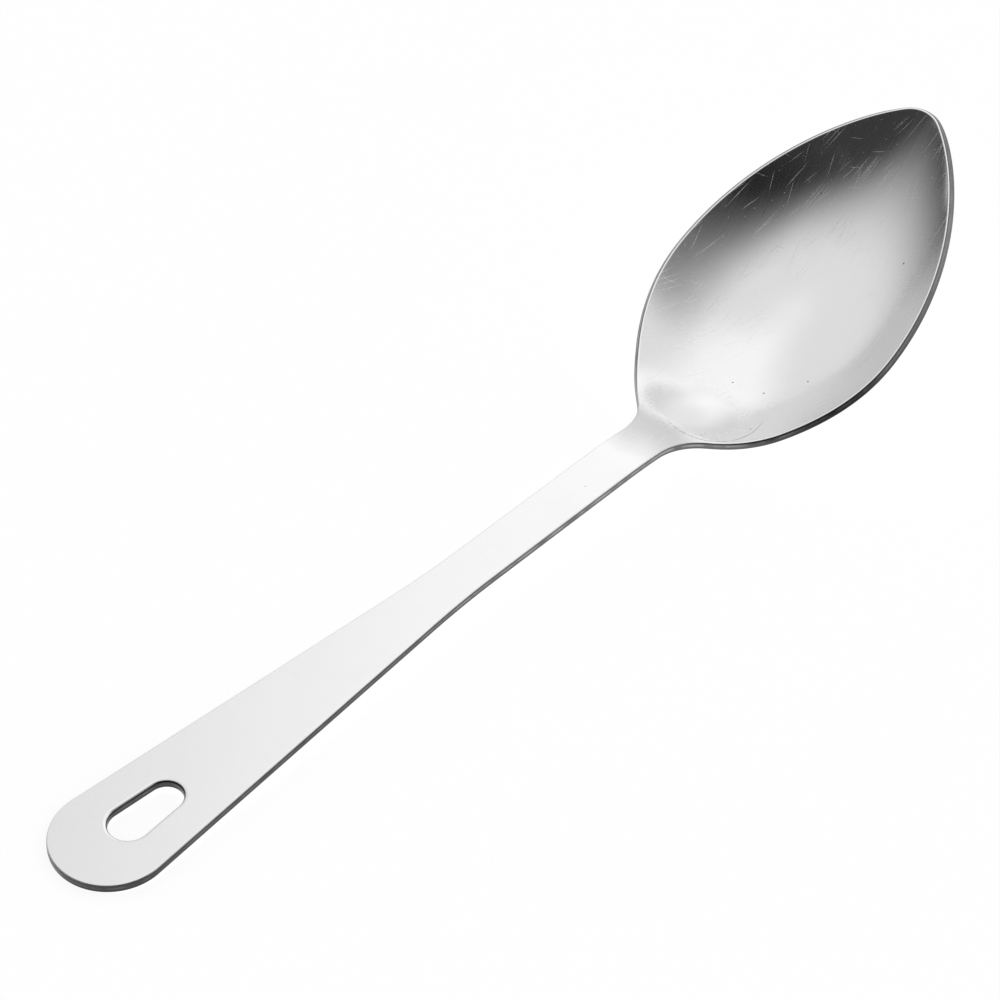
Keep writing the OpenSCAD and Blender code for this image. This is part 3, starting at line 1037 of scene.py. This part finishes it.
def tumbled_stainless(finish):
    """Blanked and tumbled edge: dull and darker than the faces, partly its own tone and partly painted
    shade, with a painted reflection as a lighter streak along its middle.
    """
    if "tumbled_stainless" in bpy.data.materials:
        return bpy.data.materials["tumbled_stainless"]
    material, tree, shader = new_material("tumbled_stainless")
    flat = sheet_place(tree)
    along = add(tree, SEPARATE, {0: flat})
    depth = add(tree, "ShaderNodeAttribute", attribute_name="depth").outputs["Fac"]
    depth_mm = add(tree, MATH, {0: depth, 1: 1 / MM}, operation="MULTIPLY")
    below = add(tree, MATH, {0: depth_mm, 1: STREAK_DEPTH}, operation="SUBTRACT")
    away = add(tree, MATH, {0: below}, operation="ABSOLUTE")
    # The streak comes and goes along the edge over a few millimetres
    patchy = add(tree, NOISE, {"Vector": flat, "Scale": 1 / STREAK_L, "Detail": 3.0}, noise_dimensions="2D")
    # Each row goes smoothly from 0 at the first number to 1 at the second. The numbers are in mm
    # on the sheet, or levels of the patches
    share = {}
    for name, value, start, end in (
        ("streak", away, 0.45, 0.1),
        ("patches", patchy, 0.3, 0.65),
        ("shank", along, 60.0, 150.0),
        ("up to mid bowl", along, 245.0, 220.0),
        ("past the end", along, 70.0, 170.0),
    ):
        share[name] = add(
            tree,
            MAP_RANGE,
            {"Value": value, "From Min": start, "From Max": end},
            interpolation_type="SMOOTHSTEP",
        )
    # The painted reflection streak is plain on the shank and the neck and faint elsewhere, and the handle's
    # end and the slot are darkest, as painted shade
    plain = add(tree, MATH, {0: share["shank"], 1: share["up to mid bowl"]}, operation="MULTIPLY")
    shown = add(tree, MAP_RANGE, {"Value": plain, "To Min": LEAST_STREAK})
    streak = add(tree, MATH, {0: share["streak"], 1: share["patches"]}, operation="MULTIPLY")
    streak = add(tree, MATH, {0: streak, 1: shown}, operation="MULTIPLY")
    # Painted shade darkens the edge over its own duller tone, most round the handle's end and in the slot,
    # and the lighter streak is a painted reflection
    tone = (*finish.end_tone_and_shade_colour, 1.0)
    for part, colour_there in (
        (share["past the end"], finish.edge_tone_and_shade_colour),
        (streak, finish.streak_reflection_colour),
    ):
        tone = add(tree, MIX, {0: part, 6: tone, 7: (*colour_there, 1.0)}, data_type="RGBA").outputs[2]
    tree.links.new(tone, shader.inputs["Base Color"])
    shader.inputs["Metallic"].default_value = 1.0
    shader.inputs["Roughness"].default_value = finish.edge_roughness
    return material


class SPOON_OT_handle(bpy.types.Operator):
    """Makes the flat handle with its rounded end and hanging slot"""

    bl_idname = "spoon.handle"
    bl_label = "Handle"

    def execute(self, context):
        sheet = Sheet(context.scene.spoon_sheet)
        pressed_piece(handle_blank(sheet), sheet, context.scene.spoon_finish, "handle")
        return {"FINISHED"}


class SPOON_OT_neck(bpy.types.Operator):
    """Makes the bent neck that flares into the bowl"""

    bl_idname = "spoon.neck"
    bl_label = "Neck"

    def execute(self, context):
        sheet = Sheet(context.scene.spoon_sheet)
        pressed_piece(neck_blank(sheet), sheet, context.scene.spoon_finish, "neck")
        return {"FINISHED"}


class SPOON_OT_bowl(bpy.types.Operator):
    """Makes the pressed bowl"""

    bl_idname = "spoon.bowl"
    bl_label = "Bowl"

    def execute(self, context):
        sheet = Sheet(context.scene.spoon_sheet)
        pressed_piece(bowl_blank(sheet), sheet, context.scene.spoon_finish, "bowl")
        return {"FINISHED"}


WHITE = (1.0, 1.0, 1.0, 1.0)
# Width of the camera's sensor in mm, and the nearest and furthest that it sees in metres
SENSOR_W = 36.0
CLIP_NEAR = 0.01
CLIP_FAR = 50.0
# Roughness of the matt table top
FLOOR_ROUGHNESS = 0.9
# Segments of the dome round its axis and from pole to pole
DOME_SEGMENTS = 64
DOME_RINGS = 32
# Depth under the table at which the dome's lower half is cut away
DOME_CUT = 1.0 * MM


def add_camera(stage):
    """The camera, turned a little about its own line of sight."""
    target = Vector(stage.target)
    back = Vector((
        math.sin(stage.azimuth) * math.cos(stage.elevation),
        -math.cos(stage.azimuth) * math.cos(stage.elevation),
        math.sin(stage.elevation),
    ))
    data = bpy.data.cameras.new("camera")
    data.lens = stage.lens
    data.sensor_width = SENSOR_W
    data.clip_start = CLIP_NEAR
    data.clip_end = CLIP_FAR
    camera = add_object("camera", data)
    turn = back.to_track_quat("Z", "Y").to_matrix().to_4x4()
    place = Matrix.Translation(target + back * stage.distance)
    camera.matrix_world = place @ turn @ Matrix.Rotation(stage.roll, 4, "Z")
    bpy.context.scene.camera = camera


def background_share(tree):
    """1 for the rays that see the white background: camera, glossy and transmission rays."""
    path = add(tree, "ShaderNodeLightPath")
    seen = path.outputs["Is Camera Ray"]
    for name in ("Is Glossy Ray", "Is Transmission Ray"):
        seen = add(tree, MATH, {0: seen, 1: path.outputs[name]}, operation="MAXIMUM")
    return seen


def add_world(stage):
    """White background, and an even fill light for what is lit by it."""
    world = bpy.data.worlds.new("studio")
    bpy.context.scene.world = world
    world.use_nodes = True
    tree = world.node_tree
    strength = add(tree, MIX, {0: background_share(tree), 2: stage.fill, 3: 1.0}, data_type="FLOAT")
    shader = tree.nodes["Background"]
    shader.inputs["Color"].default_value = WHITE
    tree.links.new(strength.outputs[0], shader.inputs["Strength"])


def corners_of(half_w, half_h):
    """Corners of a rectangle round the origin, counter-clockwise."""
    return [(-half_w, -half_h), (half_w, -half_h), (half_w, half_h), (-half_w, half_h)]


def add_floor(stage):
    """White table top. Part of its white is its own, so that the shadow on it stays faint."""
    material, tree, shader = new_material("white_table_top")
    shader.inputs["Base Color"].default_value = (*stage.floor_colour, 1.0)
    shader.inputs["Roughness"].default_value = FLOOR_ROUGHNESS
    shader.inputs["Specular IOR Level"].default_value = 0.0
    shader.inputs["Emission Color"].default_value = WHITE
    glow = add(tree, MATH, {0: background_share(tree), 1: stage.floor_glow}, operation="MULTIPLY")
    tree.links.new(glow.outputs[0], shader.inputs["Emission Strength"])
    half = stage.floor_w / 2
    mesh = bpy.data.meshes.new("floor")
    mesh.from_pydata([(x, y, 0) for x, y in corners_of(half, half)], [], [(0, 1, 2, 3)])
    mesh.materials.append(material)
    floor = add_object("floor", mesh)


def compass(azimuth, elevation):
    """Unit vector at that azimuth, from +X towards +Y, and elevation."""
    flat = math.cos(elevation)
    return Vector((flat * math.cos(azimuth), flat * math.sin(azimuth), math.sin(elevation)))


def show_in_reflections_only(thing):
    """Keeps a thing from shading the table and from showing in a view."""
    thing.visible_camera = False
    thing.visible_diffuse = False
    thing.visible_transmission = False
    thing.visible_shadow = False


def add_dark_side(stage):
    """Dark cloth dome on the camera's side, fading out towards the lit side."""
    material, tree, shader = new_material("dark_cloth")
    tree.nodes.remove(shader)
    cloth = add(tree, EMISSION, {"Color": (*stage.dark_colour, 1.0)})
    place = add(tree, "ShaderNodeTexCoord").outputs["Object"]
    outward = add(tree, VECTOR_MATH, {0: place}, operation="NORMALIZE")
    lit = compass(stage.lit_azimuth, stage.lit_elevation)
    facing = add(tree, VECTOR_MATH, {0: outward, 1: lit}, operation="DOT_PRODUCT").outputs["Value"]
    opening = add(
        tree,
        MAP_RANGE,
        {"Value": facing, "From Min": stage.dark_until, "From Max": stage.clear_from},
        interpolation_type="SMOOTHSTEP",
    )
    clear = add(tree, "ShaderNodeBsdfTransparent")
    mixed = add(tree, "ShaderNodeMixShader", {0: opening, 1: cloth, 2: clear})
    tree.links.new(mixed.outputs[0], tree.nodes["Material Output"].inputs["Surface"])

    bm = bmesh.new()
    bmesh.ops.create_uvsphere(bm, u_segments=DOME_SEGMENTS, v_segments=DOME_RINGS, radius=stage.dome_r)
    below = [v for v in bm.verts if v.co.z < -DOME_CUT]
    bmesh.ops.delete(bm, geom=below, context="VERTS")
    mesh = bpy.data.meshes.new("dark_side")
    bm.to_mesh(mesh)
    bm.free()
    mesh.materials.append(material)
    dome = add_object("dark_side", mesh)
    show_in_reflections_only(dome)


@dataclass
class Card:
    """A soft-edged card that faces the spoon: a light one adds glow and a dark one takes it away.

    The angles are in degrees and the sizes in metres, measured between the middles of the fading
    sides. Glow is how bright the card looks, where 1 is white.
    """

    name: str
    azimuth: float
    elevation: float
    distance: float
    width: float
    height: float
    softness: float
    glow: float = 0.0
    darkness: float = 0.0


CARDS = (
    # Tall softbox that whitens the handle and the middle of the bowl
    Card("strip_softbox", 28.2, 56.1, 0.45, 0.346, 0.452, 0.207, glow=0.275),
    # Low glow past the tip, seen in the heel
    Card("low_card", 21.4, -5.0, 0.6, 0.58, 1.418, 0.58, glow=0.158),
    # Side card that draws the bright line along the near rim
    Card("side_card", -55.0, 20.0, 0.6, 0.62, 0.36, 0.26, glow=0.62),
    # Black flag that darkens the right wall of the bowl near its tip
    Card("black_flag", -90.9, 49.3, 0.6, 0.66, 0.34, 0.34, darkness=0.66),
)


def card_cloth(card, card_level):
    """What lies behind a card shows through its soft sides."""
    material, tree, shader = new_material(card.name + "_cloth")
    tree.nodes.remove(shader)
    axes = add(tree, SEPARATE, {0: add(tree, "ShaderNodeUVMap", uv_map="card")})
    share = 1.0
    for axis, size in (("X", card.width), ("Y", card.height)):
        away = add(tree, MATH, {0: axes.outputs[axis]}, operation="ABSOLUTE")
        outer, inner = (size + card.softness) / 2, (size - card.softness) / 2
        fade = add(
            tree,
            MAP_RANGE,
            {"Value": away, "From Min": outer, "From Max": inner},
            interpolation_type="SMOOTHSTEP",
        )
        share = add(tree, MATH, {0: fade, 1: share}, operation="MULTIPLY")
    clear = add(tree, "ShaderNodeBsdfTransparent")
    if card.darkness:
        share = add(tree, MATH, {0: share, 1: card.darkness}, operation="MULTIPLY")
        black = add(tree, EMISSION, {"Strength": 0.0})
        seen = add(tree, "ShaderNodeMixShader", {0: share, 1: clear, 2: black})
    else:
        strength = add(tree, MATH, {0: share, 1: card.glow * card_level}, operation="MULTIPLY")
        glow = add(tree, EMISSION, {"Strength": strength})
        seen = add(tree, "ShaderNodeAddShader", {0: glow, 1: clear})
    tree.links.new(seen.outputs[0], tree.nodes["Material Output"].inputs["Surface"])
    return material


def add_card(card, card_level):
    """A card at its place round the spoon, with its front towards it."""
    outward = compass(math.radians(card.azimuth), math.radians(card.elevation))
    turn = outward.to_track_quat("Z", "Y").to_matrix()
    corners = corners_of((card.width + card.softness) / 2, (card.height + card.softness) / 2)
    places = [outward * card.distance + turn @ Vector((*corner, 0)) for corner in corners]
    mesh = bpy.data.meshes.new(card.name)
    mesh.from_pydata(places, [], [(3, 2, 1, 0)])
    uv = mesh.uv_layers.new(name="card")
    for loop in mesh.loops:
        uv.data[loop.index].uv = corners[loop.vertex_index]
    mesh.materials.append(card_cloth(card, card_level))
    thing = add_object(card.name, mesh)
    show_in_reflections_only(thing)


class SPOON_OT_stage(bpy.types.Operator):
    """Makes the floor, the dark side, the cards round the spoon and the camera"""

    bl_idname = "spoon.stage"
    bl_label = "Stage"

    def execute(self, context):
        stage = context.scene.spoon_stage
        add_camera(stage)
        add_world(stage)
        add_floor(stage)
        add_dark_side(stage)
        for card in CARDS:
            add_card(card, stage.card_level)
        context.scene.view_settings.view_transform = "Standard"
        return {"FINISHED"}


class SPOON_PT_panel(bpy.types.Panel):
    """Lists what makes the spoon and its stage"""

    bl_idname = "SPOON_PT_panel"
    bl_label = "Serving spoon"
    bl_space_type = "VIEW_3D"
    bl_region_type = "UI"
    bl_category = "Spoon"

    def draw(self, context):
        for operator in OPERATORS:
            self.layout.operator(operator.bl_idname)
        scene = context.scene
        for settings in (scene.spoon_sheet, scene.spoon_finish, scene.spoon_stage):
            box = self.layout.box()
            for name in settings.bl_rna.properties.keys():
                if name not in ("rna_type", "name"):
                    box.prop(settings, name)


OPERATORS = (SPOON_OT_handle, SPOON_OT_neck, SPOON_OT_bowl, SPOON_OT_stage)
CLASSES = (SpoonSheetSettings, SpoonFinishSettings, SpoonStageSettings, *OPERATORS, SPOON_PT_panel)


def register():
    for each in CLASSES:
        bpy.utils.register_class(each)
    bpy.types.Scene.spoon_sheet = PointerProperty(type=SpoonSheetSettings)
    bpy.types.Scene.spoon_finish = PointerProperty(type=SpoonFinishSettings)
    bpy.types.Scene.spoon_stage = PointerProperty(type=SpoonStageSettings)


def unregister():
    del bpy.types.Scene.spoon_stage
    del bpy.types.Scene.spoon_finish
    del bpy.types.Scene.spoon_sheet
    for each in reversed(CLASSES):
        bpy.utils.unregister_class(each)


def main():
    """Makes the spoon and its stage."""
    register()
    bpy.ops.spoon.handle()
    bpy.ops.spoon.neck()
    bpy.ops.spoon.bowl()
    bpy.ops.spoon.stage()


if __name__ == "__main__":
    main()
